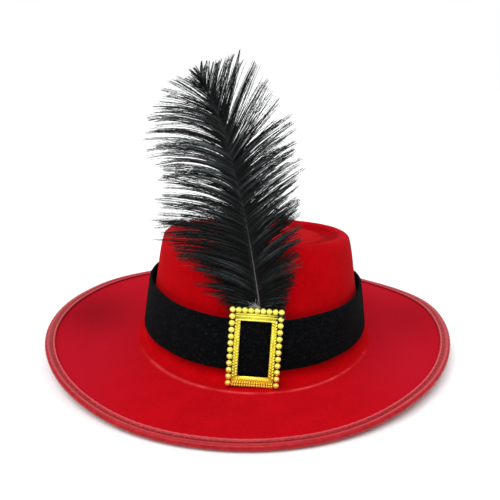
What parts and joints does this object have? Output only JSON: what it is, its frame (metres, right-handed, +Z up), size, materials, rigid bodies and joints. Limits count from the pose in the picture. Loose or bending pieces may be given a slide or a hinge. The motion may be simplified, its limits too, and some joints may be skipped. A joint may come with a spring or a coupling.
{
  "type": "costume pirate hat",
  "caption": "Wide-brimmed felt costume hat with a bound edge, a felt band, an open rectangular buckle and an upright ostrich plume that swings on its tack.",
  "frame": {"origin": "middle of the brim's outline, on the surface that the hat lies on", "axes": "+Z up through the crown; the buckle and plume face -Y; +X is to the right of someone who looks at the buckle"},
  "size_m": [0.34, 0.36, 0.2337],
  "materials": {
    "red_felt": "matte needled felt",
    "satin_tape": "satin ribbon",
    "red_thread": "matte thread",
    "steel_wire": "drawn wire",
    "sweatband": "smooth leatherette",
    "black_thread": "matte thread",
    "pale_thread": "matte thread",
    "label": "blank satin",
    "black_felt": "matte felt",
    "hot_glue": "translucent glue",
    "gold_plate": "metallised gold",
    "quill": "horn",
    "shaft": "dyed horn",
    "black_plume": "dyed feather",
    "pale_down": "down"
  },
  "bodies": {
    "hat": {"felt_body": "red_felt", "brim_wire": "steel_wire", "wire_joiner": "steel_wire", "brim_binding": "satin_tape", "binding_stitches": "red_thread", "sweatband": "sweatband", "sweatband_stitches": "black_thread", "sweatband_join_stitches": "black_thread", "size_label": "label", "label_stitches": "pale_thread", "hat_band": "black_felt", "band_end_stitches": "black_thread", "band_glue_spots": "hot_glue", "buckle_frame": "gold_plate", "buckle_beads": "gold_plate", "buckle_foot_beads": "gold_plate", "buckle_glue_pads": "hot_glue", "plume_tack": "black_thread"},
    "plume": {"plume_quill": "quill", "plume_thread_wrap": "black_thread", "plume_shaft": "shaft", "plume_vane_left": "black_plume", "plume_vane_right": "black_plume", "plume_down": "pale_down"}
  },
  "joints": [
    {"name": "plume_swing", "type": "hinge", "parent": "hat", "child": "plume", "pos_m": [0.0113, -0.09826, 0.044], "axis": [0, -0.9965, 0.0837], "range_deg": [-10, 10]}
  ]
}
